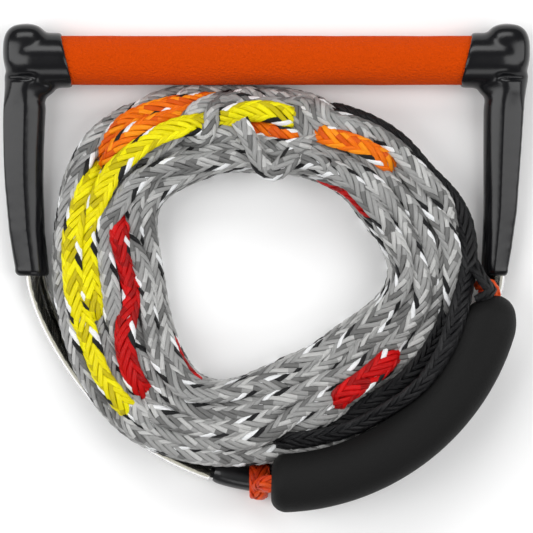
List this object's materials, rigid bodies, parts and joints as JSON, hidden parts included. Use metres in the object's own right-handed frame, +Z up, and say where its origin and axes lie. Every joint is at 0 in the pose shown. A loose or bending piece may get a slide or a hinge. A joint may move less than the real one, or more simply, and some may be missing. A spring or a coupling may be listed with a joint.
{
  "type": "tow rope handle",
  "caption": "Water-ski tow handle: a bar grip in moulded end guards, a hosed rope bridle, a curved foam float and the coiled hollow-braid line.",
  "frame": {"origin": "on the surface the handle lies on, under the middle of the rigid parts' box", "axes": "+X along the bar, +Y from the bridle apex to the bar, +Z up from the surface"},
  "size_m": [0.322, 0.2983, 0.0524],
  "materials": {
    "bar_aluminium": "brushed",
    "plug_foam": "closed-cell foam",
    "grip_foam": "matte foam",
    "grip_cover": "short-napped suede",
    "guard_vinyl": "glossy moulded vinyl",
    "bridle_rope": "braided",
    "clear_hose": "clear flexible vinyl",
    "sleeve_vinyl": "satin vinyl sleeve",
    "float_foam": "matte skinned foam",
    "float_rope": "hollow braid",
    "yellow_braid": "hollow braid",
    "orange_braid": "hollow braid",
    "red_braid": "hollow braid",
    "black_braid": "hollow braid",
    "grey_braid": "hollow braid"
  },
  "bodies": {
    "bridle": {"bridle_rope": "bridle_rope", "left_bridle_hose": "clear_hose", "right_bridle_hose": "clear_hose", "apex_sleeve": "sleeve_vinyl", "float_rope": "float_rope", "yellow_section_coil": "yellow_braid", "orange_section_coil": "orange_braid", "red_section_coil": "red_braid", "handle_section_coil": "black_braid", "mainline_coil": "grey_braid"},
    "bar": {"bar_tube": "bar_aluminium", "left_bar_plug": "plug_foam", "right_bar_plug": "plug_foam", "grip_foam": "grip_foam", "grip_cover": "grip_cover", "left_anchor_rope": "bridle_rope", "right_anchor_rope": "bridle_rope", "left_end_guard": "guard_vinyl", "right_end_guard": "guard_vinyl"},
    "float": {"float_body": "float_foam"}
  },
  "joints": [
    {"name": "bar_swing", "type": "hinge", "parent": "bridle", "child": "bar", "pos_m": [0, -0.011, 0.0096], "axis": [1, 0, 0], "range_deg": [0, 55]},
    {"name": "float_slide", "type": "hinge", "parent": "bridle", "child": "float", "pos_m": [0.0064, 0.0012, 0.0346], "axis": [0, 0, 1], "range_deg": [0, 1]}
  ]
}
